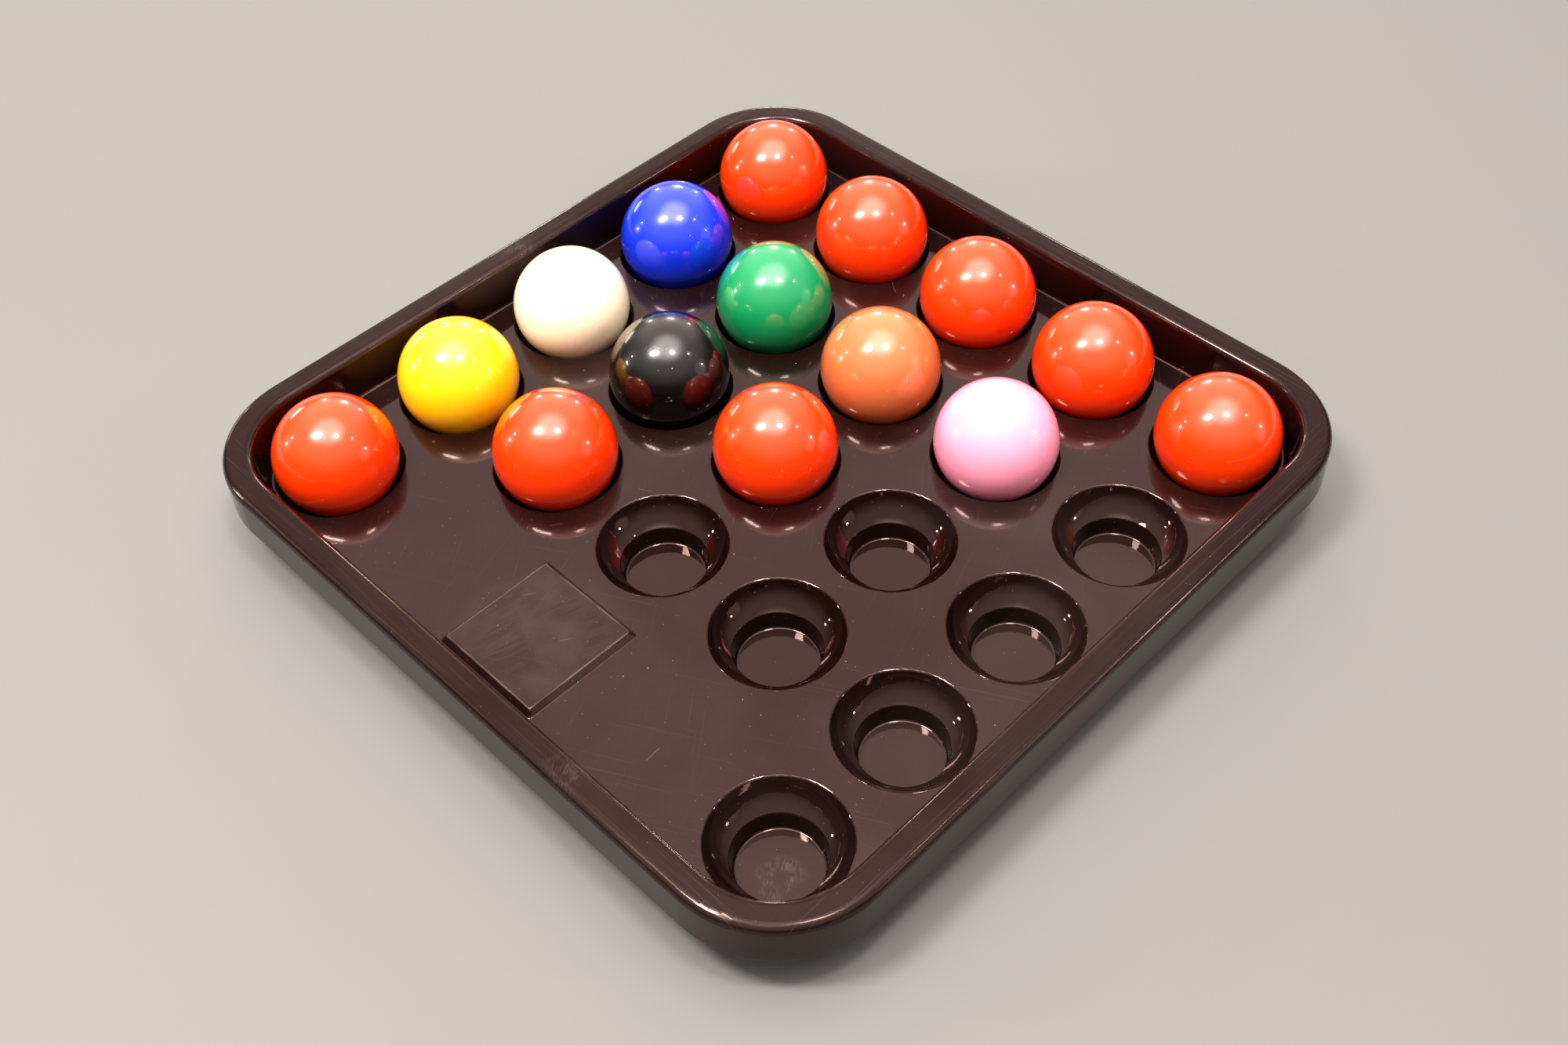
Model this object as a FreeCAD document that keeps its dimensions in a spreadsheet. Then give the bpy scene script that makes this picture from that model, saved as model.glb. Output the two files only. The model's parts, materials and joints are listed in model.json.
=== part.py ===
import FreeCAD, Part
import math
import os

import Sketcher

# A square moulded tray for snooker balls. The tray's middle is on the Z axis, the table is at z = 0, and
# +Y points to the tray's full row of wells. The tray stands on the bottoms of its cups.
# Every size is in millimetres and every angle in degrees.
DIMENSIONS = {
    "ball_diameter": (52.5, "snooker ball"),
    "tray_width": (352.0, "overall width at the skirt's foot"),
    "corner_radius": (48.0, "outside corner at the skirt's foot"),
    "sheet": (2.2, "thickness of the moulding everywhere"),
    "skirt_clearance": (20.0, "gap between the table and the skirt's foot"),
    "skirt_draft": (2.0, "lean of the skirt from upright"),
    "rim_rise": (19.0, "top of the rim above the deck"),
    "rim_width": (11.7, "width of the rim's flat top before rounding"),
    "wall_draft": (11.0, "lean of the inner wall from upright"),
    "rim_outer_round": (3.5, "rounding of the rim's outer edge"),
    "rim_inner_round": (3.0, "rounding of the rim's inner edge"),
    "wall_foot_round": (1.5, "rounding where the inner wall meets the deck"),
    "skirt_foot_round": (0.5, "rounding of the skirt's foot"),
    "under_foot_round": (2.0, "rounding under the foot of the inner wall"),
    "well_pitch": (65.0, "distance between neighbouring wells"),
    "wells_across": (5, "wells in a full row, and rows in the grid"),
    "full_rows": (4, "rows that hold a full set of wells"),
    "mouth_radius": (27.0, "well at the deck"),
    "ledge_radius": (18.0, "ring that the ball rests on"),
    "ledge_depth": (10.4, "ring below the deck"),
    "bowl_curve": (20.0, "radius of the bowl's curve from the ring up to the mouth"),
    "cup_depth": (18.3, "cup floor below the deck"),
    "cup_draft": (9.0, "lean of the cup wall from upright"),
    "mouth_round": (0.8, "rounding of the well's mouth"),
    "ledge_round": (0.6, "rounding of the ring"),
    "floor_round": (1.0, "rounding at the edge of the cup floor"),
    "cup_foot_round": (2.5, "rounding of the cup's outside at the table"),
    "pad_width": (54.0, "label pad at the deck"),
    "pad_rise": (2.5, "label pad above the deck"),
    "pad_inset": (2.0, "run of the label pad's sloping side"),
    "pad_corner_round": (1.5, "rounding of the label pad's corners"),
    "pad_top_round": (0.5, "rounding of the label pad's top edge"),
}

# Which ball sits in which well: the row counts away from the full row, and the column counts along +X.
BALLS = (
    ("red_ball_1", 0, 0),
    ("red_ball_2", 0, 1),
    ("red_ball_3", 0, 2),
    ("red_ball_4", 0, 3),
    ("red_ball_5", 0, 4),
    ("blue_ball", 1, 0),
    ("green_ball", 1, 1),
    ("brown_ball", 1, 2),
    ("pink_ball", 1, 3),
    ("white_ball", 2, 0),
    ("black_ball", 2, 1),
    ("red_ball_6", 2, 2),
    ("yellow_ball", 3, 0),
    ("red_ball_7", 3, 1),
    ("red_ball_8", 4, 0),
)

# Heights and distances that follow from the dimensions above, as formulas over the sheet.
DECK = "(dims.cup_depth + dims.sheet)"
RIM_TOP = f"({DECK} + dims.rim_rise)"
HALF_WIDTH = "(dims.tray_width / 2)"
CORNER_CENTRE = f"({HALF_WIDTH} - dims.corner_radius)"
SKIRT_TOP = f"({HALF_WIDTH} - ({RIM_TOP} - dims.skirt_clearance) * tan(dims.skirt_draft * 1deg))"
WALL_TOP = f"({SKIRT_TOP} - dims.rim_width)"
WALL_FOOT = f"({WALL_TOP} - dims.rim_rise * tan(dims.wall_draft * 1deg))"

# The same section's corners on the hidden side of the sheet.
DECK_UNDER = f"({DECK} - dims.sheet)"
RIM_UNDER = f"({RIM_TOP} - dims.sheet)"
SKIRT_SHEET = "(dims.sheet / cos(dims.skirt_draft * 1deg))"
SKIRT_FOOT_INSIDE = f"({HALF_WIDTH} - {SKIRT_SHEET})"
SKIRT_TOP_INSIDE = f"({SKIRT_TOP} + dims.sheet * tan(dims.skirt_draft * 1deg) - {SKIRT_SHEET})"
WALL_SHEET = "(dims.sheet * (1 / cos(dims.wall_draft * 1deg) - tan(dims.wall_draft * 1deg)))"
WALL_TOP_UNDER = f"({WALL_TOP} + {WALL_SHEET})"
WALL_FOOT_UNDER = f"({WALL_FOOT} + {WALL_SHEET})"

GRID_HALF = "(dims.well_pitch * (dims.wells_across - 1) / 2)"
LEDGE = f"({DECK} - dims.ledge_depth)"
CUP_FLOOR = "dims.sheet"
PAD_TOP = f"({DECK} + dims.pad_rise)"
# Cut through the well's axis, the bowl is one round arc from the ledge up to the mouth, steeper by the mouth
# than by the ledge. The arc's centre lies off the middle of its chord, towards the axis.
BOWL_RUN = "(dims.mouth_radius - dims.ledge_radius)"
BOWL_CHORD = f"sqrt({BOWL_RUN}^2 + dims.ledge_depth^2)"
BOWL_OFFSET = f"sqrt(dims.bowl_curve^2 - ({BOWL_CHORD} / 2)^2)"
BOWL_CENTRE_OUT = f"(dims.ledge_radius + {BOWL_RUN} / 2 - {BOWL_OFFSET} * dims.ledge_depth / {BOWL_CHORD})"
BOWL_CENTRE_UP = f"({DECK} - dims.ledge_depth / 2 + {BOWL_OFFSET} * {BOWL_RUN} / {BOWL_CHORD})"
BALL_HEIGHT = f"({LEDGE} + sqrt(dims.ball_diameter^2 / 4 - dims.ledge_radius^2))"

# The solver's own numbers for the ends of a sketch's edge, and for the sketch's origin.
START, END, CENTRE = 1, 2, 3
ORIGIN = -1

# Two lengths are the same when they differ by less than this, in millimetres.
SAME_LENGTH = 0.01
# A feature's change in volume may differ from the expected one by this share of it.
VOLUME_SHARE = 0.02
# Settings of a feature that are words, not formulas.
WORD_SETTINGS = ("Mode", "Mode2")

document = FreeCAD.newDocument("snooker_ball_tray")
sheet = document.addObject("Spreadsheet::Sheet", "dims")
for number, (alias, (size, meaning)) in enumerate(DIMENSIONS.items(), start=1):
    sheet.set(f"A{number}", meaning)
    sheet.set(f"B{number}", str(size))
    sheet.setAlias(f"B{number}", alias)
document.recompute()


def value(formula):
    """The present value of a formula over the sheet, as a plain number."""
    result = sheet.evalExpression(formula)
    return float(getattr(result, "Value", result))


def point(x_formula, y_formula):
    return FreeCAD.Vector(value(x_formula), value(y_formula), 0)


def new_sketch(body, name, plane, offsets=()):
    """A sketch on one of the body's own origin planes, moved by formulas along its own axes."""
    sketch = body.newObject("Sketcher::SketchObject", name)
    support = next(item for item in body.Origin.OriginFeatures if item.Role == plane)
    sketch.AttachmentSupport = [(support, "")]
    sketch.MapMode = "FlatFace"
    for axis, formula in offsets:
        sketch.setExpression(f"AttachmentOffset.Base.{axis}", formula)
    return sketch


def bind(sketch, kind, *where, formula):
    """Adds a constraint whose size is a formula over the sheet."""
    size = value(formula)
    if kind == "Angle":
        size = math.radians(size)
    number = sketch.addConstraint(Sketcher.Constraint(kind, *where, size))
    sketch.setExpression(f"Constraints[{number}]", formula)


def place(sketch, edge, end, x_formula, y_formula):
    bind(sketch, "DistanceX", ORIGIN, START, edge, end, formula=x_formula)
    bind(sketch, "DistanceY", ORIGIN, START, edge, end, formula=y_formula)


def join_in_a_ring(sketch, count):
    for edge in range(count):
        sketch.addConstraint(Sketcher.Constraint("Coincident", edge, END, (edge + 1) % count, START))


def polygon(sketch, corners):
    """A closed outline whose corners are pairs of formulas."""
    ends = [point(*corner) for corner in corners]
    for edge, start in enumerate(ends):
        sketch.addGeometry(Part.LineSegment(start, ends[(edge + 1) % len(ends)]), False)
    join_in_a_ring(sketch, len(ends))
    for edge, corner in enumerate(corners):
        place(sketch, edge, START, *corner)


def square(sketch, width):
    """A square of the given width, centred on the sketch's origin."""
    half = f"({width}) / 2"
    polygon(sketch, [(f"-({half})", f"-({half})"), (half, f"-({half})"), (half, half), (f"-({half})", half)])


def rim_section(sketch):
    """Half of the tray cut across its middle: border of the deck, inner wall, rim and skirt."""
    polygon(sketch, [
        (CORNER_CENTRE, DECK),
        (WALL_FOOT, DECK),
        (WALL_TOP, RIM_TOP),
        (SKIRT_TOP, RIM_TOP),
        (HALF_WIDTH, "dims.skirt_clearance"),
        (SKIRT_FOOT_INSIDE, "dims.skirt_clearance"),
        (SKIRT_TOP_INSIDE, RIM_UNDER),
        (WALL_TOP_UNDER, RIM_UNDER),
        (WALL_FOOT_UNDER, DECK_UNDER),
        (CORNER_CENTRE, DECK_UNDER),
    ])


def cup_wall_foot(bottom, growth):
    """The radius of the cup's wall at its foot, growth being how far it stands outside the hollow."""
    run = f"({LEDGE} - {bottom}) * tan(dims.cup_draft * 1deg)"
    return f"(dims.ledge_radius - {run} + {growth} / cos(dims.cup_draft * 1deg))"


def cup_outline(sketch, bottom, growth, top):
    """Half of a cup, cut through its axis: bottom, sloping wall, bowl and a flat top."""
    wall_foot = cup_wall_foot(bottom, growth)
    foot = point(wall_foot, bottom)
    ledge = point(f"dims.ledge_radius + {growth}", f"{LEDGE} - {growth} / 2")
    mouth = point(f"dims.mouth_radius + {growth}", top)
    centre = point(BOWL_CENTRE_OUT, BOWL_CENTRE_UP)
    radius = value(f"dims.bowl_curve + {growth}")
    low_angle = math.atan2(ledge.y - centre.y, ledge.x - centre.x)
    high_angle = math.atan2(mouth.y - centre.y, mouth.x - centre.x)
    axis_top = FreeCAD.Vector(0, mouth.y, 0)
    axis_bottom = FreeCAD.Vector(0, foot.y, 0)
    bowl_circle = Part.Circle(centre, FreeCAD.Vector(0, 0, 1), radius)
    sketch.addGeometry(Part.LineSegment(axis_bottom, foot), False)
    sketch.addGeometry(Part.LineSegment(foot, ledge), False)
    sketch.addGeometry(Part.ArcOfCircle(bowl_circle, low_angle, high_angle), False)
    sketch.addGeometry(Part.LineSegment(mouth, axis_top), False)
    sketch.addGeometry(Part.LineSegment(axis_top, axis_bottom), False)
    floor_line, wall_line, bowl_arc, top_line, axis_line = range(5)
    join_in_a_ring(sketch, 5)
    place(sketch, floor_line, START, "0", bottom)
    place(sketch, wall_line, START, wall_foot, bottom)
    place(sketch, bowl_arc, CENTRE, BOWL_CENTRE_OUT, BOWL_CENTRE_UP)
    bind(sketch, "Radius", bowl_arc, formula=f"dims.bowl_curve + {growth}")
    bind(sketch, "Angle", wall_line, formula="90deg - dims.cup_draft * 1deg")
    sketch.addConstraint(Sketcher.Constraint("Horizontal", top_line))
    place(sketch, axis_line, START, "0", top)


def add_feature(body, kind, name, **settings):
    """Adds a feature to the body; settings given as text are formulas over the sheet."""
    feature = body.newObject(kind, name)
    for setting, content in settings.items():
        if isinstance(content, str) and setting not in WORD_SETTINGS:
            feature.setExpression(setting, content)
        else:
            setattr(feature, setting, content)
    body.Tip = feature
    return feature


def volume_now(body):
    document.recompute()
    return body.Shape.Volume


def check_change(name, change, expected):
    """A feature that points the wrong way changes nothing, so its change in volume is compared."""
    if abs(change - expected) > VOLUME_SHARE * abs(expected):
        raise RuntimeError(f"{name}: the volume changed by {change:.0f}, not by {expected:.0f}")


def origin_axis(body, role):
    return next(item for item in body.Origin.OriginFeatures if item.Role == role), [""]


def round_edges(body, name, radius_formula, wanted):
    """Rounds every edge of the body for which wanted(edge) is true."""
    document.recompute()
    base = body.Tip
    names = [f"Edge{number}" for number, edge in enumerate(base.Shape.Edges, start=1) if wanted(edge)]
    if not names:
        raise RuntimeError(f"{name}: found no edges")
    add_feature(body, "PartDesign::Fillet", name, Base=(base, names), Radius=radius_formula)


def distance_out(where):
    """How far out a point lies along the rim's section, on a side or round a corner."""
    corner = value(CORNER_CENTRE)
    return corner + math.hypot(max(abs(where.x) - corner, 0), max(abs(where.y) - corner, 0))


def runs_round_rim(out_formula, height_formula):
    """A test for the edges that go round the rim through one corner of its section."""
    out, height = value(out_formula), value(height_formula)

    def wanted(edge):
        ends = [vertex.Point for vertex in edge.Vertexes]
        return all(abs(distance_out(end) - out) + abs(end.z - height) < SAME_LENGTH for end in ends)

    return wanted


def circles_a_well(radius_formula, height_formula):
    """A test for the level rings of a given radius at a given height, kept as a circle or as a spline."""
    radius, height = value(radius_formula), value(height_formula)

    def wanted(edge):
        level = edge.BoundBox.ZLength + abs(edge.CenterOfMass.z - height) < SAME_LENGTH
        return level and edge.isClosed() and abs(edge.Length / (2 * math.pi) - radius) < SAME_LENGTH

    return wanted


def build_deck_and_rim(body):
    middle = new_sketch(body, "deck_middle_outline", "XY_Plane", [("z", f"{DECK} - dims.sheet")])
    square(middle, f"2 * {CORNER_CENTRE}")
    add_feature(body, "PartDesign::Pad", "deck_middle", Profile=middle, Length="dims.sheet")

    side_section = new_sketch(body, "side_section", "XZ_Plane")
    rim_section(side_section)
    side = add_feature(
        body, "PartDesign::Pad", "side", Profile=side_section, Midplane=True, Length=f"2 * {CORNER_CENTRE}"
    )

    # The inner end of the corner's section stands on the corner's own axis.
    corner_section = new_sketch(body, "corner_section", "XZ_Plane", [("z", f"-{CORNER_CENTRE}")])
    rim_section(corner_section)
    inner_end = corner_section.GeometryCount
    before = volume_now(body)
    corner = add_feature(
        body, "PartDesign::Revolution", "corner",
        Profile=corner_section, ReferenceAxis=(corner_section, [f"Edge{inner_end}"]), Angle=90.0,
    )
    section_face = Part.Face(corner_section.Shape)
    swept = math.pi / 2 * (section_face.CenterOfMass.x - value(CORNER_CENTRE)) * section_face.Area
    check_change("corner", volume_now(body) - before, swept)
    add_feature(
        body, "PartDesign::PolarPattern", "four_sides",
        Originals=[side, corner], Axis=origin_axis(body, "Z_Axis"), Angle=360.0, Occurrences=4,
    )


def build_wells(body):
    """The cups' bodies, then their hollows: full rows from the far side, and a well in each near corner."""
    full_reach = "dims.well_pitch * (dims.full_rows - 1)"
    for name, kind, bottom, growth, top in (
        ("cup", "PartDesign::Revolution", "0", "dims.sheet", f"({DECK} - dims.sheet / 2)"),
        ("hollow", "PartDesign::Groove", CUP_FLOOR, "0", f"({DECK} + dims.sheet / 2)"),
    ):
        # The section's plane faces -Y, so the far row is at a negative offset.
        for region, offset, across, down, reach in (
            ("rows", f"-{GRID_HALF}", "dims.wells_across", "dims.full_rows", full_reach),
            ("corners", GRID_HALF, 2, 1, "dims.well_pitch"),
        ):
            section = new_sketch(
                body, f"{name}_section_{region}", "XZ_Plane", [("x", f"-{GRID_HALF}"), ("z", offset)]
            )
            cup_outline(section, bottom, growth, top)
            before = volume_now(body)
            first = add_feature(
                body, kind, f"first_{name}_{region}",
                Profile=section, ReferenceAxis=(section, ["V_Axis"]), Angle=360.0,
            )
            one = volume_now(body) - before
            pattern = add_feature(
                body, "PartDesign::LinearPattern", f"{name}_{region}", Originals=[first],
                Direction=origin_axis(body, "X_Axis"), Mode="Extent", Length=f"2 * {GRID_HALF}",
                Direction2=origin_axis(body, "Y_Axis"), Mode2="Extent", Length2=reach, Reversed2=True,
                Occurrences=across, Occurrences2=down,
            )
            change = volume_now(body) - before
            check_change(pattern.Name, change, one * pattern.Occurrences * pattern.Occurrences2)


def build_label_pad(body):
    """A plateau for a label in the middle of the near row, hollow beneath like the rest of the sheet."""
    slope = "dims.pad_rise / dims.pad_inset"
    under_width = f"(dims.pad_width - 2 * dims.sheet * tan(atan({slope}) / 2))"
    for name, kind, width, level, change in (
        ("pad", "PartDesign::Pad", "dims.pad_width", DECK, 1),
        ("pad_hollow", "PartDesign::Pocket", under_width, f"({DECK} - dims.sheet)", -1),
    ):
        outline = new_sketch(body, f"{name}_outline", "XY_Plane", [("y", f"-{GRID_HALF}"), ("z", level)])
        square(outline, width)
        before = volume_now(body)
        add_feature(
            body, kind, f"label_{name}", Profile=outline, Length="dims.pad_rise", Reversed=change < 0,
            TaperAngle="-atan(dims.pad_inset / dims.pad_rise)",
        )
        foot, top = value(width), value(f"{width} - 2 * dims.pad_inset")
        frustum = value("dims.pad_rise") * (foot ** 2 + foot * top + top ** 2) / 3
        check_change(name, volume_now(body) - before, change * frustum)


def offsets_from_pad(edge):
    """How far each end of an edge lies from the label pad's middle, along X or Y, whichever is more."""
    middle = value(f"-{GRID_HALF}")
    return [max(abs(vertex.Point.x), abs(vertex.Point.y - middle)) for vertex in edge.Vertexes]


def slopes_at_pad_corner(edge):
    heights = sorted(vertex.Point.z for vertex in edge.Vertexes)
    if abs(heights[0] - value(DECK)) + abs(heights[-1] - value(PAD_TOP)) > SAME_LENGTH:
        return False
    return max(offsets_from_pad(edge)) < value("dims.pad_width / 2") + SAME_LENGTH


def runs_round_pad(half_width_formula, height_formula):
    """A test for the edges round the label pad at one height."""
    half, height = value(half_width_formula), value(height_formula)

    def wanted(edge):
        level = all(abs(vertex.Point.z - height) < SAME_LENGTH for vertex in edge.Vertexes)
        return level and all(abs(offset - half) < SAME_LENGTH for offset in offsets_from_pad(edge))

    return wanted


def round_tray(body):
    """Rounds the tray's edges; under the rim the radius is one sheet less than above it."""
    outer_under = runs_round_rim(SKIRT_TOP_INSIDE, RIM_UNDER)
    inner_under = runs_round_rim(WALL_TOP_UNDER, RIM_UNDER)
    for name, radius, edges in (
        ("rim_outer_edge", "dims.rim_outer_round", runs_round_rim(SKIRT_TOP, RIM_TOP)),
        ("rim_inner_edge", "dims.rim_inner_round", runs_round_rim(WALL_TOP, RIM_TOP)),
        ("wall_foot", "dims.wall_foot_round", runs_round_rim(WALL_FOOT, DECK)),
        ("outer_edge_under", "dims.rim_outer_round - dims.sheet", outer_under),
        ("inner_edge_under", "dims.rim_inner_round - dims.sheet", inner_under),
        ("wall_foot_under", "dims.under_foot_round", runs_round_rim(WALL_FOOT_UNDER, DECK_UNDER)),
        ("skirt_foot", "dims.skirt_foot_round", runs_round_rim(HALF_WIDTH, "dims.skirt_clearance")),
        ("well_mouths", "dims.mouth_round", circles_a_well("dims.mouth_radius", DECK)),
        ("well_ledges", "dims.ledge_round", circles_a_well("dims.ledge_radius", LEDGE)),
        ("cup_floors", "dims.floor_round", circles_a_well(cup_wall_foot(CUP_FLOOR, "0"), CUP_FLOOR)),
        ("cup_feet", "dims.cup_foot_round", circles_a_well(cup_wall_foot("0", "dims.sheet"), "0")),
        ("pad_corners", "dims.pad_corner_round", slopes_at_pad_corner),
        ("pad_top", "dims.pad_top_round", runs_round_pad("dims.pad_width / 2 - dims.pad_inset", PAD_TOP)),
        ("pad_foot", "dims.pad_top_round", runs_round_pad("dims.pad_width / 2", DECK)),
    ):
        round_edges(body, name, radius, edges)


def build_tray():
    body = document.addObject("PartDesign::Body", "tray")
    build_deck_and_rim(body)
    build_wells(body)
    build_label_pad(body)
    round_tray(body)
    return body


def build_ball(name, row, column):
    """A ball in its well, resting on the well's ledge."""
    ball = document.addObject("Part::Sphere", name)
    ball.setExpression("Radius", "dims.ball_diameter / 2")
    ball.setExpression("Placement.Base.x", f"{column} * dims.well_pitch - {GRID_HALF}")
    ball.setExpression("Placement.Base.y", f"{GRID_HALF} - {row} * dims.well_pitch")
    ball.setExpression("Placement.Base.z", BALL_HEIGHT)
    return ball


def check_pieces(pieces):
    for item in document.Objects:
        if {"Invalid", "Error"} & set(item.State):
            raise RuntimeError(f"{item.Name} failed: {item.State}")
    for piece in pieces:
        if piece.Shape.isNull() or not piece.Shape.isValid() or len(piece.Shape.Solids) != 1:
            raise RuntimeError(f"{piece.Label} is not one valid solid")


def write_pieces(pieces):
    os.makedirs("parts", exist_ok=True)
    for piece in pieces:
        piece.Shape.exportStep(f"parts/{piece.Label}.step")


pieces = [build_tray()]
pieces += [build_ball(*ball) for ball in BALLS]
document.recompute()
check_pieces(pieces)
write_pieces(pieces)
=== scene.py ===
import bpy
import json
import math

from mathutils import Matrix, Vector


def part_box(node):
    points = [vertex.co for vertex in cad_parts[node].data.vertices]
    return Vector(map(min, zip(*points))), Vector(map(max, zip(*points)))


# The looks of a square snooker ball tray and its fifteen balls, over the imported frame.
# Lengths are in metres in the frame's own axes: +Z up, the tray's middle on the Z axis, the table at z = 0.
MILLIMETRE = 0.001
# The smoothing modifier's strongest weight: a large flat face keeps its own direction at its edges.
LARGEST_FACES_WIN = 100
# How much of a speck's radius, and of a hairline's width, is solid before it fades.
SPECK_CORE = 0.6
HAIRLINE_CORE = 0.7

# Heights that the frame's boxes don't give: the label pad above the deck, and the tray's plastic sheet.
PAD_RISE = 2.5 * MILLIMETRE
SHEET = 2.2 * MILLIMETRE
# The label pad's flat top, and how far the middle of the rim's top lies inside the tray's outline.
PAD_TOP_WIDTH = 50.0 * MILLIMETRE
RIM_MIDDLE = 7.0 * MILLIMETRE
# How wide the pale band is on either side of the pad's edge, worn in places and also a painted highlight, and
# how far the front well's scuff lies from the middle of its floor, in x and in y.
EDGE_WEAR_AND_HIGHLIGHT = 0.35 * MILLIMETRE
SCUFF_SHIFT = 3.5 * MILLIMETRE
# How far below the rim's top its looks start and are complete, the same for its flat top, and how quickly the
# deck's scratches end above and below the deck.
RIM_START = 6.0 * MILLIMETRE
RIM_COMPLETE = 1.0 * MILLIMETRE
RIM_TOP_START = 0.6 * MILLIMETRE
RIM_TOP_COMPLETE = 0.1 * MILLIMETRE
DECK_FADE = 0.3 * MILLIMETRE
# How deep the bumps are: the plastic's waves, grain and scratches, and the balls' skin and hairlines.
WAVE_DEPTH = 1.1 * MILLIMETRE
GRAIN_DEPTH = 0.012 * MILLIMETRE
SCRATCH_DEPTH = 0.02 * MILLIMETRE
SKIN_DEPTH = 0.06 * MILLIMETRE
HAIRLINE_DEPTH = 0.004 * MILLIMETRE

# The camera looks at a point on the deck, given in tray widths from its middle.
CAMERA_AZIMUTH = math.radians(46.1)
CAMERA_ELEVATION = math.radians(48.5)
CAMERA_ROLL = math.radians(-2.1)
CAMERA_LENS = 38.65
CAMERA_DISTANCE = 1.945
CAMERA_AIM = (0.0776, -0.0653)

# Lamps hang round the tray: name, place in metres from its middle, size in metres, brightness.
LAMPS = (
    ("left_lamp", (-0.37, -0.72, 1.78), (0.56, 0.34), 85.0),
    ("right_lamp", (0.43, -0.01, 1.95), (0.30, 0.25), 86.0),
    ("far_lamp_1", (-3.35, -2.70, 1.05), (0.24, 0.24), 160.0),
    ("far_lamp_2", (-3.20, -2.45, 1.95), (0.16, 0.16), 140.0),
    ("far_lamp_3", (-3.05, 3.05, 1.30), (0.40, 0.18), 110.0),
    ("far_lamp_4", (-3.90, 1.90, 0.90), (0.18, 0.18), 110.0),
    ("far_lamp_5", (-1.85, 3.90, 1.30), (0.16, 0.16), 140.0),
    ("far_lamp_6", (2.20, 1.75, 3.50), (0.16, 0.16), 140.0),
    ("far_lamp_7", (3.30, 2.55, 1.70), (0.24, 0.18), 110.0),
    ("side_window", (-4.50, 0.10, 0.60), (1.20, 0.70), 5.0),
)
LAMP_COLOUR = (1.0, 0.94, 0.88)
# The dome is dim near the horizon. A strong glow stands overhead round the lamps, a broad faint one where the
# deck mirrors it into the camera, and a small one for the near-right side of the label pad. The camera itself
# sees an even pale background.
DOME_TOP = (1.00, 0.90, 0.87)
DOME_FOOT = (0.07, 0.065, 0.065)
DOME_RISE = (math.radians(6), math.radians(50))
OVERHEAD_COLOUR = (6.0, 5.5, 5.3)
OVERHEAD_SPREAD = (math.radians(38), math.radians(5))
GLOW_COLOUR = (1.65, 1.44, 1.38)
GLOW_SPREAD = (math.radians(58), math.radians(22))
PAD_GLOW_COLOUR = (1.2, 1.0, 0.95)
PAD_GLOW_SPREAD = (math.radians(16), math.radians(8))
PAD_SLOPE = math.radians(51)
BACKGROUND = (0.62, 0.62, 0.62)
FLOOR_COLOUR = (0.145, 0.145, 0.142)
FLOOR_WIDTH = 12.0

TRAY_COLOUR = (0.0105, 0.0036, 0.0029)
TRAY_GLEAM = (1.0, 0.76, 0.70)
TRAY_SHINE = 0.5
RIM_TOP_SHINE = 0.22
PLASTIC_IOR = 1.52
RESIN_IOR = 1.36
POLISHED = 0.015
UNPOLISHED = 0.35
DUST_COLOUR = (0.40, 0.36, 0.34)
CHALK_COLOUR = (0.85, 0.83, 0.80)
BALL_COLOURS = {
    "red_ball": (0.90, 0.050, 0.002),
    "blue_ball": (0.009, 0.035, 0.58),
    "green_ball": (0.008, 0.25, 0.09),
    "brown_ball": (0.56, 0.15, 0.05),
    "pink_ball": (0.93, 0.34, 0.47),
    "white_ball": (0.95, 0.80, 0.58),
    "black_ball": (0.004, 0.0025, 0.0025),
    "yellow_ball": (0.96, 0.56, 0.008),
}


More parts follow.
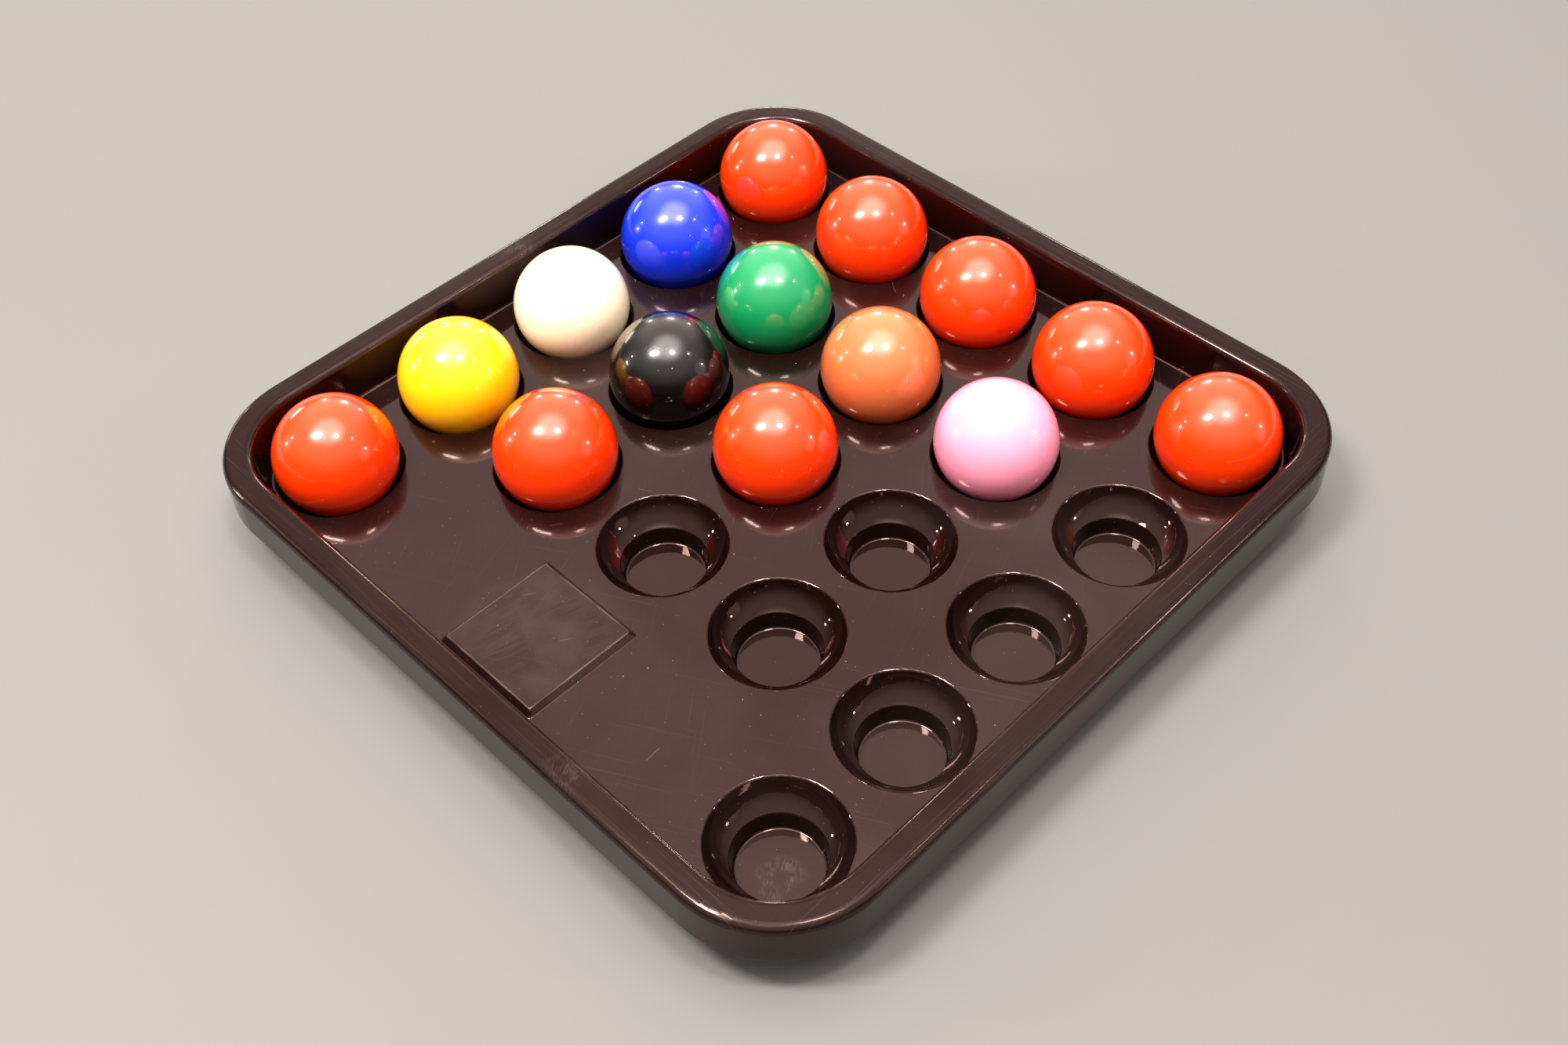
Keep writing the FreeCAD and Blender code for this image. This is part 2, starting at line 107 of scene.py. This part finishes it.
class Shader:
    """The nodes of a material or of the world, with short ways to add and join them."""

    def __init__(self, owner):
        owner.use_nodes = True
        self.owner = owner
        self.tree = owner.node_tree
        self.place = self.add("ShaderNodeTexCoord").outputs["Object"]

    def add(self, kind, inputs=None, **settings):
        """Adds a node; an input is given as a plain value or as another node's output."""
        node = self.tree.nodes.new(kind)
        for setting, content in settings.items():
            setattr(node, setting, content)
        for name, content in (inputs or {}).items():
            self.feed(node.inputs[name], content)
        return node

    def feed(self, socket, content):
        if isinstance(content, bpy.types.NodeSocket):
            self.tree.links.new(content, socket)
        elif isinstance(content, tuple) and socket.type == "RGBA":
            socket.default_value = (*content, 1.0)
        else:
            socket.default_value = content

    def maths(self, operation, first, second=0.0):
        node = self.add("ShaderNodeMath", {0: first, 1: second}, operation=operation)
        return node.outputs[0]

    def both(self, *masks):
        """The product of several masks."""
        product = masks[0]
        for mask in masks[1:]:
            product = self.maths("MULTIPLY", product, mask)
        return product

    def either(self, *masks):
        """The strongest of several masks."""
        strongest = masks[0]
        for mask in masks[1:]:
            strongest = self.maths("MAXIMUM", strongest, mask)
        return strongest

    def part_of(self, share, mask):
        return self.maths("MULTIPLY", mask, share)

    def ramp(self, source, low, high, start=0.0, end=1.0):
        """Turns source from low..high into start..end, smoothly and no further."""
        node = self.add(
            "ShaderNodeMapRange",
            {"Value": source, "From Min": low, "From Max": high, "To Min": start, "To Max": end},
            interpolation_type="SMOOTHSTEP",
        )
        return node.outputs["Result"]

    def noise(self, scale, detail=3.0, bend=0.0, where=None, seed=0.0):
        """Smooth random values around 0.5; scale is in spots to the metre."""
        where = where or self.place
        moved = self.add("ShaderNodeVectorMath", {0: where, 1: (seed, seed, seed)}, operation="ADD")
        node = self.add(
            "ShaderNodeTexNoise",
            {"Vector": moved.outputs[0], "Scale": scale, "Detail": detail, "Distortion": bend},
        )
        return node.outputs["Fac"]

    def colour_mix(self, factor, first, second):
        node = self.add("ShaderNodeMix", {0: factor}, data_type="RGBA")
        self.feed(node.inputs[6], first)
        self.feed(node.inputs[7], second)
        return node.outputs[2]

    def value_mix(self, factor, first, second):
        node = self.add("ShaderNodeMix", {0: factor}, data_type="FLOAT")
        self.feed(node.inputs[2], first)
        self.feed(node.inputs[3], second)
        return node.outputs[0]

    def specks(self, spacing, radius, share, seed=0.0):
        """Round specks on a random grid, of which only a share is kept."""
        moved = self.add("ShaderNodeVectorMath", {0: self.place, 1: (seed, seed, seed)}, operation="ADD")
        cells = self.add("ShaderNodeTexVoronoi", {"Vector": moved.outputs[0], "Scale": 1 / spacing})
        reach = radius / spacing
        spot = self.ramp(cells.outputs["Distance"], reach, reach * SPECK_CORE)
        chance = self.add("ShaderNodeSeparateColor", {"Color": cells.outputs["Color"]})
        kept = self.maths("LESS_THAN", chance.outputs["Red"], share)
        return self.both(spot, kept)

    def hairlines(self, angle, width, length, share, bend=0.0, seed=0.0):
        """Fine scratches that run at one angle over the XY plane."""
        turned = self.add(
            "ShaderNodeMapping",
            {"Vector": self.place, "Rotation": (0.0, 0.0, angle), "Scale": (length, width, length)},
            vector_type="TEXTURE",
        )
        wavy = self.noise(scale=1.0, detail=1.0, bend=bend, where=turned.outputs[0], seed=seed)
        return self.ramp(wavy, 1 - share, 1 - share * HAIRLINE_CORE)

    def curved_scratches(self, scale, width, share, seed):
        """Thin curved scratches: short stretches of the level lines of a slow noise."""
        levels = 9.0
        shorter = 8.0
        stretch_end = 0.02
        slow = self.noise(scale, detail=0.0, bend=0.6, seed=seed)
        rings = self.maths("FRACT", self.maths("MULTIPLY", slow, levels))
        off_line = self.maths("ABSOLUTE", self.maths("SUBTRACT", rings, 0.5))
        line = self.ramp(off_line, width * scale * levels, 0.0)
        pieces = self.noise(scale * shorter, detail=1.0, seed=seed + 3)
        stretches = self.ramp(pieces, 1 - share, 1 - share + stretch_end)
        return self.both(line, stretches)

    def spot(self, centre, inner, outer):
        """A round mask about a point: 1 within the inner radius and 0 beyond the outer one."""
        away = self.add("ShaderNodeVectorMath", {0: self.place, 1: tuple(centre)}, operation="DISTANCE")
        return self.ramp(away.outputs["Value"], outer, inner)

    def between(self, source, low, high, fade):
        """1 from low to high, falling to 0 within the fade on either side."""
        return self.both(self.ramp(source, low - fade, low), self.ramp(source, high + fade, high))

    def bump(self, height, distance, below=None):
        inputs = {"Height": height, "Distance": distance, "Strength": 1.0}
        if below is not None:
            inputs["Normal"] = below
        return self.add("ShaderNodeBump", inputs).outputs["Normal"]

    def finish(self, **inputs):
        """Feeds the surface; underscores in the names stand for spaces."""
        surface = self.tree.nodes["Principled BSDF"]
        for name, content in inputs.items():
            self.feed(surface.inputs[name.replace("_", " ")], content)
        return self.owner


def darkened(colour, share):
    return tuple(share * part for part in colour)


def away_from(shader, value, middle):
    """How far a value is from the middle one, on either side."""
    return shader.maths("ABSOLUTE", shader.maths("SUBTRACT", value, middle))


def pad_smear(shader, pad):
    """Cloudy patches and wiped streaks over the label pad."""
    clouds = shader.ramp(shader.noise(scale=38.0, detail=6.0, bend=0.3), low=0.42, high=0.68)
    streaks = shader.hairlines(angle=1.35, width=0.005, length=0.030, share=0.55, bend=2.5, seed=21.0)
    wiped = shader.either(shader.part_of(0.9, clouds), shader.part_of(0.4, streaks))
    return shader.both(shader.spot(pad, inner=0.016, outer=0.042), wiped)


def pad_edge_wear_and_painted_highlight(shader, pad, along):
    """The edge of the label pad's top, painted pale in places: rubbed wear and also a painted highlight along
    the edge.
    """
    from_pad = shader.either(away_from(shader, along["X"], pad.x), away_from(shader, along["Y"], pad.y))
    edge = shader.between(from_pad, PAD_TOP_WIDTH / 2 - EDGE_WEAR_AND_HIGHLIGHT, PAD_TOP_WIDTH / 2, fade=EDGE_WEAR_AND_HIGHLIGHT)
    upper_half = shader.ramp(along["Z"], low=pad.z - PAD_RISE / 2, high=pad.z - PAD_RISE / 4)
    places = shader.ramp(shader.noise(scale=60.0, detail=4.0, seed=6.0), low=0.30, high=0.60)
    return shader.both(edge, upper_half, places)


def scraped_places(shader, well_scuff, rim_knocks):
    """Fine gritty scuffs on the floor of the front well and at a few places on the rim."""
    grit = shader.either(
        shader.ramp(shader.noise(scale=420.0, detail=4.0, bend=0.5), low=0.46, high=0.64),
        shader.hairlines(angle=2.2, width=0.0004, length=0.004, share=0.55, bend=0.5, seed=17.0),
    )
    patches = shader.ramp(shader.noise(scale=110.0, detail=3.0, bend=0.4, seed=17.0), low=0.34, high=0.58)
    places = shader.either(
        shader.spot(well_scuff, inner=0.003, outer=0.012),
        *(shader.part_of(0.6, shader.spot(knock, inner=0.002, outer=0.012)) for knock in rim_knocks),
    )
    return shader.both(places, patches, grit)


def deck_scratches(shader):
    """Faint straight hairlines in three directions, and clearer curved scratches."""
    straight = shader.either(
        shader.hairlines(angle=0.5, width=0.0003, length=0.05, share=0.30, bend=0.4),
        shader.hairlines(angle=-0.9, width=0.0003, length=0.04, share=0.29, bend=0.4, seed=7.0),
        shader.hairlines(angle=1.9, width=0.0003, length=0.06, share=0.28, bend=0.4, seed=13.0),
    )
    curved = shader.curved_scratches(scale=7.0, width=0.00022, share=0.36, seed=2.0)
    return shader.either(shader.part_of(0.25, straight), shader.part_of(0.7, curved))


def rim_scratches(shader, along):
    """Hairlines that run along whichever side of the rim they are on."""
    sides_in_x = shader.maths(
        "GREATER_THAN", shader.maths("ABSOLUTE", along["X"]), shader.maths("ABSOLUTE", along["Y"])
    )
    lines = shader.value_mix(
        sides_in_x,
        shader.hairlines(angle=0.0, width=0.0004, length=0.05, share=0.38, bend=0.2, seed=3.0),
        shader.hairlines(angle=math.pi / 2, width=0.0004, length=0.05, share=0.38, bend=0.2, seed=9.0),
    )
    return shader.part_of(0.38, lines)


def moulded_plastic(pad, well_scuff, rim_knocks):
    """Glossy dark brown plastic with dust, haze, scratches, smudges and scuffs."""
    shader = Shader(bpy.data.materials.new("tray_plastic"))
    along = shader.add("ShaderNodeSeparateXYZ", {0: shader.place}).outputs
    rim_top = rim_knocks[0].z
    on_rim = shader.ramp(along["Z"], low=rim_top - RIM_START, high=rim_top - RIM_COMPLETE)
    on_rim_top = shader.ramp(along["Z"], low=rim_top - RIM_TOP_START, high=rim_top - RIM_TOP_COMPLETE)
    on_deck = shader.between(along["Z"], pad.z - PAD_RISE, pad.z, fade=DECK_FADE)

    scratches = shader.either(
        shader.both(on_deck, deck_scratches(shader)), shader.both(on_rim, rim_scratches(shader, along))
    )
    # The marks hold real scratches and scuffs, and the pad's top edge painted pale as its highlight as well
    # as its wear.
    marks_and_edge_highlight = shader.either(
        scratches, scraped_places(shader, well_scuff, rim_knocks), pad_edge_wear_and_painted_highlight(shader, pad, along)
    )
    smear = pad_smear(shader, pad)
    haze = shader.ramp(shader.noise(scale=9.0, detail=5.0, bend=0.9, seed=4.0), low=0.40, high=0.72)
    dust = shader.either(
        shader.specks(spacing=0.0030, radius=0.00014, share=0.7),
        shader.specks(spacing=0.0085, radius=0.00028, share=0.7, seed=5.0),
    )

    colour = shader.colour_mix(shader.noise(scale=40.0, detail=4.0), TRAY_COLOUR, darkened(TRAY_COLOUR, 0.7))
    paler = ((0.017, haze), (0.09, marks_and_edge_highlight), (0.030, smear), (0.45, dust))
    for share, mask in paler:
        colour = shader.colour_mix(shader.part_of(share, mask), colour, DUST_COLOUR)

    roughness = shader.ramp(haze, low=0.0, high=1.0, start=0.03, end=0.065)
    rougher = ((1.0, on_rim, 0.16), (0.7, marks_and_edge_highlight, 0.42), (0.5, smear, 0.30), (1.0, dust, 0.75))
    for share, mask, rough in rougher:
        roughness = shader.value_mix(shader.part_of(share, mask), roughness, rough)

    # The moulding is slightly wavy, and its skin has a very fine grain.
    waves = shader.bump(shader.noise(scale=16.0, detail=1.0, seed=9.0), WAVE_DEPTH)
    grain = shader.bump(shader.noise(scale=900.0, detail=2.0), GRAIN_DEPTH, below=waves)
    return shader.finish(
        Base_Color=colour,
        Roughness=roughness,
        IOR=PLASTIC_IOR,
        Specular_IOR_Level=shader.value_mix(on_rim_top, TRAY_SHINE, RIM_TOP_SHINE),
        Specular_Tint=TRAY_GLEAM,
        Normal=shader.bump(shader.part_of(-1.0, scratches), SCRATCH_DEPTH, below=grain),
    )


def polished_resin(slot, colour, seed):
    """A polished ball: deep even colour under a hard shine, with light wear, dust and a little chalk."""
    shader = Shader(bpy.data.materials.new(slot))
    body = shader.colour_mix(shader.noise(scale=30.0, detail=3.0, seed=seed), colour, darkened(colour, 0.86))
    chalk = shader.both(
        shader.specks(spacing=0.0046, radius=0.00030, share=0.5, seed=seed),
        shader.ramp(shader.noise(scale=22.0, detail=2.0, seed=seed + 2), low=0.45, high=0.6),
    )
    dust = shader.specks(spacing=0.0013, radius=0.00009, share=0.5, seed=seed + 11)
    specks = shader.either(shader.part_of(0.5, chalk), shader.part_of(0.25, dust))
    hair = shader.either(
        shader.hairlines(angle=0.3 + seed, width=0.0002, length=0.02, share=0.29, bend=0.6, seed=seed),
        shader.hairlines(angle=1.7 + seed, width=0.0002, length=0.015, share=0.28, bend=0.6, seed=seed + 5),
    )
    worn = shader.either(specks, shader.part_of(0.4, hair))
    handled = shader.ramp(shader.noise(scale=45.0, detail=4.0, bend=0.8, seed=seed + 8), low=0.40, high=0.75)

    skin = shader.bump(shader.noise(scale=60.0, detail=1.0, seed=seed), SKIN_DEPTH)
    cut = shader.bump(shader.part_of(-1.0, hair), HAIRLINE_DEPTH, below=skin)
    # Fine wear under the polish spreads a soft haze round the hard reflections.
    return shader.finish(
        Base_Color=shader.colour_mix(specks, body, CHALK_COLOUR),
        Roughness=shader.ramp(handled, low=0.0, high=1.0, start=0.24, end=0.34),
        IOR=RESIN_IOR,
        Normal=cut,
        Coat_Weight=1.0,
        Coat_Roughness=shader.value_mix(worn, POLISHED, UNPOLISHED),
        Coat_Normal=cut,
    )


def painted_floor():
    """A plain pale studio floor, barely mottled."""
    shader = Shader(bpy.data.materials.new("studio_floor"))
    clouds = shader.noise(scale=3.0, detail=4.0)
    colour = shader.colour_mix(clouds, FLOOR_COLOUR, darkened(FLOOR_COLOUR, 0.97))
    return shader.finish(Base_Color=colour, Roughness=0.7)


def give_material(piece, material):
    piece.data.materials.clear()
    piece.data.materials.append(material)


def smooth(piece):
    """Shades a piece smoothly, its flat faces staying flat."""
    for face in piece.data.polygons:
        face.use_smooth = True
    normals = piece.modifiers.new("even_normals", "WEIGHTED_NORMAL")
    normals.mode = "FACE_AREA"
    normals.weight = LARGEST_FACES_WIN
    normals.keep_sharp = True


def dress_tray():
    tray = frame["nodes"]["tray"]
    low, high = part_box("tray")
    pad = Vector(mount("label_pad")["pos_m"])
    pitch = ball_centre("red_ball_2").x - ball_centre("red_ball_1").x
    # The front well is two pitches along the near row from the pad, and its floor is one sheet up. The floor
    # is scuffed a little off its middle, towards the tray's corner.
    front_well = Vector((pad.x + 2 * pitch, pad.y, low.z + SHEET))
    well_scuff = front_well + Vector((SCUFF_SHIFT, -SCUFF_SHIFT, 0.0))
    # The rim is knocked halfway along its far-left side, and on its near-left side below the fourth column.
    rim_knocks = (
        Vector((low.x + RIM_MIDDLE, 0.0, high.z)),
        Vector((pitch, low.y + RIM_MIDDLE, high.z)),
    )
    give_material(tray, moulded_plastic(pad, well_scuff, rim_knocks))
    smooth(tray)


def mount(name):
    return next(item for item in frame["record"]["mounts"] if item["name"] == name)


def ball_centre(name):
    low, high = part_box(name)
    return (low + high) / 2


def dress_balls():
    slots = {item["node"]: item["material_slot"] for item in frame["record"]["subparts"]}
    for number, name in enumerate(sorted(frame["nodes"])):
        if name == "tray":
            continue
        ball = frame["nodes"][name]
        give_material(ball, polished_resin(slots[name], BALL_COLOURS[slots[name]], 1.7 * number))
        smooth(ball)


def lay_floor():
    bpy.ops.mesh.primitive_plane_add(size=FLOOR_WIDTH, location=(0, 0, 0))
    floor = bpy.context.object
    floor.name = "studio_floor"
    give_material(floor, painted_floor())


def camera_back():
    """The direction from what the camera looks at back to the camera."""
    return Vector((
        math.sin(CAMERA_AZIMUTH) * math.cos(CAMERA_ELEVATION),
        -math.cos(CAMERA_AZIMUTH) * math.cos(CAMERA_ELEVATION),
        math.sin(CAMERA_ELEVATION),
    ))


def hang_lamps():
    """Each lamp is an ellipse that faces the tray, its long side level with the camera's."""
    camera_side = Vector((math.cos(CAMERA_AZIMUTH), math.sin(CAMERA_AZIMUTH), 0.0))
    for name, where, size, brightness in LAMPS:
        data = bpy.data.lights.new(name, "AREA")
        data.shape = "ELLIPSE"
        data.size, data.size_y = size
        data.energy = brightness * math.pi * (math.pi * size[0] * size[1] / 4)
        data.color = LAMP_COLOUR
        lamp = bpy.data.objects.new(name, data)
        bpy.context.scene.collection.objects.link(lamp)
        outward = Vector(where).normalized()
        across = outward.cross(camera_side).normalized()
        along = across.cross(outward)
        facing = Matrix((along, across, outward)).transposed().to_4x4()
        lamp.matrix_world = Matrix.Translation(where) @ facing


def mirrored(normal):
    """Where a surface with this normal makes the camera look."""
    return 2 * camera_back().dot(normal) * normal - camera_back()


def raise_dome():
    """A pale dome with three soft glows, which the camera sees as an even background."""
    world = bpy.data.worlds.new("studio_dome")
    bpy.context.scene.world = world
    shader = Shader(world)
    direction = shader.add("ShaderNodeTexCoord").outputs["Generated"]
    parts = shader.add("ShaderNodeSeparateXYZ", {0: direction})
    rise = shader.ramp(parts.outputs["Z"], *(math.sin(angle) for angle in DOME_RISE))
    sky = shader.colour_mix(rise, DOME_FOOT, DOME_TOP)

    up = Vector((0.0, 0.0, 1.0))
    pad_side = Vector((math.sin(PAD_SLOPE), 0.0, math.cos(PAD_SLOPE)))
    sky = add_glow(shader, sky, direction, mirrored(up), GLOW_SPREAD, GLOW_COLOUR)
    sky = add_glow(shader, sky, direction, mirrored(pad_side), PAD_GLOW_SPREAD, PAD_GLOW_COLOUR)
    sky = add_glow(shader, sky, direction, up, OVERHEAD_SPREAD, OVERHEAD_COLOUR)

    seen = shader.add("ShaderNodeLightPath").outputs["Is Camera Ray"]
    shader.feed(shader.tree.nodes["Background"].inputs["Color"], shader.colour_mix(seen, sky, BACKGROUND))


def add_glow(shader, sky, direction, middle, spread, colour):
    """Lays a round soft glow over the dome, strongest at its middle."""
    towards = shader.add("ShaderNodeVectorMath", {0: direction, 1: tuple(middle)}, operation="DOT_PRODUCT")
    glow = shader.ramp(towards.outputs["Value"], *(math.cos(angle) for angle in spread))
    return shader.colour_mix(shader.both(glow, glow), sky, colour)


def set_camera():
    low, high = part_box("tray")
    width = high.x - low.x
    pad = Vector(mount("label_pad")["pos_m"])
    aim = Vector((CAMERA_AIM[0] * width, CAMERA_AIM[1] * width, pad.z - PAD_RISE))
    back = camera_back()
    data = bpy.data.cameras.new("camera")
    data.lens = CAMERA_LENS
    camera = bpy.data.objects.new("camera", data)
    bpy.context.scene.collection.objects.link(camera)
    facing = back.to_track_quat("Z", "Y").to_matrix().to_4x4()
    roll = Matrix.Rotation(CAMERA_ROLL, 4, "Z")
    camera.matrix_world = Matrix.Translation(aim + back * CAMERA_DISTANCE * width) @ facing @ roll
    bpy.context.scene.camera = camera


def set_exposure():
    bpy.context.scene.view_settings.view_transform = "Standard"
    bpy.context.scene.view_settings.look = "Medium High Contrast"


with open("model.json") as file:
    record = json.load(file)
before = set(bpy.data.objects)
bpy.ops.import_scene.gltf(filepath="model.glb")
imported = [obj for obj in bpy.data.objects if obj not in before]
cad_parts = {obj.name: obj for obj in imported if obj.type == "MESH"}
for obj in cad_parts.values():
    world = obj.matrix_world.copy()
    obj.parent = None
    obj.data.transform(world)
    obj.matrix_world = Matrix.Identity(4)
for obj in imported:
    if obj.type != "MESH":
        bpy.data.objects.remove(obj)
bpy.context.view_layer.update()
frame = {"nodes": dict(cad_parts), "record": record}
dress_tray()
dress_balls()
lay_floor()
hang_lamps()
raise_dome()
set_camera()
set_exposure()
